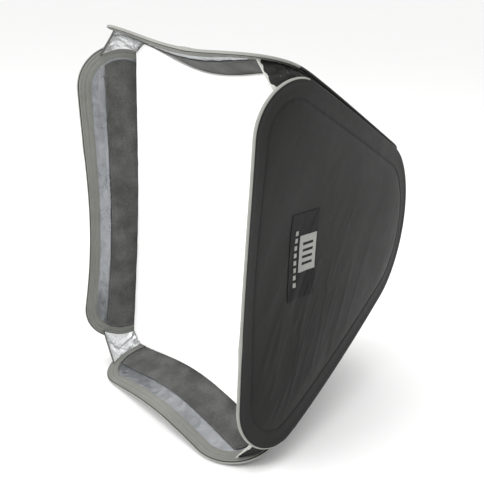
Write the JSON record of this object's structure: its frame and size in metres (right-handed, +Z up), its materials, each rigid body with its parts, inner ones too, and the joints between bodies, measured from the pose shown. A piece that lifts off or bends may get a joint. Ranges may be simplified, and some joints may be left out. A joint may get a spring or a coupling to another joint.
{
  "type": "studio softbox",
  "caption": "Folding rectangular softbox of spring-hooped black panels with silver lining, a hook-and-loop white diffuser inside its mouth and gripping tabs round its rear opening.",
  "frame": {"origin": "centre of the rear opening, in the plane of the rear edges, where the lamp's face sits", "axes": "+X across the mouth, +Z up along the taller sides, and the mouth faces -Y"},
  "size_m": [0.44, 0.42, 0.5491],
  "materials": {
    "black_nylon": "smooth tight woven nylon, slight sheen, fine wrinkles",
    "silver_cloth": "silver coated cloth, soft metallic gloss, finely crumpled",
    "edge_tape": "matte grey binding tape with rows of stitches",
    "loop_tape": "matte brushed loop pile",
    "spring_steel": "round spring steel wire",
    "white_cloth": "thin matte white polyester",
    "black_web": "black woven webbing and hook tape",
    "label_cloth": "satin woven label",
    "label_print": "light grey woven square"
  },
  "bodies": {
    "bottom_panel": {"bottom_hoop_wire": "spring_steel", "bottom_wire_ferrule": "spring_steel", "bottom_edge_binding": "edge_tape", "bottom_outer_skin": "black_nylon", "bottom_silver_lining": "silver_cloth", "bottom_loop_band": "loop_tape", "corner_gusset_bottom_right": "silver_cloth", "gusset_tape_bottom_right": "edge_tape", "corner_gusset_bottom_left": "silver_cloth", "gusset_tape_bottom_left": "edge_tape"},
    "right_panel": {"right_hoop_wire": "spring_steel", "right_wire_ferrule": "spring_steel", "right_edge_binding": "edge_tape", "right_outer_skin": "black_nylon", "right_silver_lining": "silver_cloth", "right_loop_band": "loop_tape", "corner_gusset_top_right": "silver_cloth", "gusset_tape_top_right": "edge_tape", "label_patch": "label_cloth", "label_badge": "label_print"},
    "left_panel": {"left_hoop_wire": "spring_steel", "left_wire_ferrule": "spring_steel", "left_edge_binding": "edge_tape", "left_outer_skin": "black_nylon", "left_silver_lining": "silver_cloth", "left_loop_band": "loop_tape", "corner_gusset_top_left": "silver_cloth", "gusset_tape_top_left": "edge_tape"},
    "top_panel": {"top_hoop_wire": "spring_steel", "top_wire_ferrule": "spring_steel", "top_edge_binding": "edge_tape", "top_outer_skin": "black_nylon", "top_silver_lining": "silver_cloth", "top_loop_band": "loop_tape"},
    "diffuser": {"diffuser_cloth": "white_cloth", "diffuser_hook_strip_right": "white_cloth", "diffuser_hook_strip_left": "white_cloth", "diffuser_hook_strip_bottom": "white_cloth", "diffuser_hook_strip_top": "white_cloth"},
    "right_tab": {"rear_tab_right": "black_web", "rear_tab_hook_pad_right": "black_web"},
    "left_tab": {"rear_tab_left": "black_web", "rear_tab_hook_pad_left": "black_web"},
    "bottom_tab": {"rear_tab_bottom": "black_web", "rear_tab_hook_pad_bottom": "black_web"},
    "top_tab": {"rear_tab_top": "black_web", "rear_tab_hook_pad_top": "black_web"}
  },
  "joints": [
    {"name": "fold", "type": "hinge", "parent": "bottom_panel", "child": "right_panel", "pos_m": [0.14032, -0.20213, -0.17935], "axis": [-0.3112, 0.8617, 0.4007], "range_deg": [0, 66], "deforming": ["corner_gusset_bottom_right", "gusset_tape_bottom_right", "corner_gusset_bottom_left", "gusset_tape_bottom_left", "corner_gusset_top_right", "gusset_tape_top_right", "corner_gusset_top_left", "gusset_tape_top_left", "diffuser_cloth", "diffuser_hook_strip_right", "diffuser_hook_strip_left", "diffuser_hook_strip_bottom", "diffuser_hook_strip_top"]},
    {"name": "left_fold", "type": "hinge", "parent": "bottom_panel", "child": "left_panel", "pos_m": [-0.13747, -0.20213, -0.17571], "axis": [0.3111, 0.8617, 0.4009], "range_deg": [0, 77]},
    {"name": "top_fold", "type": "hinge", "parent": "right_panel", "child": "top_panel", "pos_m": [0.13613, -0.20213, 0.17533], "axis": [0.3115, -0.862, 0.3999], "range_deg": [0, 77]},
    {"name": "diffuser_peel", "type": "slide", "parent": "bottom_panel", "child": "diffuser", "axis": [0, -1, 0], "range_m": [0, 0.12]},
    {"name": "right_tab_fold", "type": "hinge", "parent": "right_panel", "child": "right_tab", "pos_m": [0.07031, -0.01944, 0], "axis": [0, 0, -1], "range_deg": [0, 175]},
    {"name": "left_tab_fold", "type": "hinge", "parent": "left_panel", "child": "left_tab", "pos_m": [-0.07123, -0.01944, 0], "axis": [0, 0, 1], "range_deg": [0, 175]},
    {"name": "bottom_tab_fold", "type": "hinge", "parent": "bottom_panel", "child": "bottom_tab", "pos_m": [0, -0.01944, -0.09212], "axis": [-1, 0, 0], "range_deg": [0, 175]},
    {"name": "top_tab_fold", "type": "hinge", "parent": "top_panel", "child": "top_tab", "pos_m": [0, -0.01944, 0.09196], "axis": [1, 0, 0], "range_deg": [0, 175]}
  ],
  "couplings": [
    {"joint": "left_fold", "follows": "fold", "ratio": 1.15},
    {"joint": "top_fold", "follows": "fold", "ratio": 1.15}
  ]
}
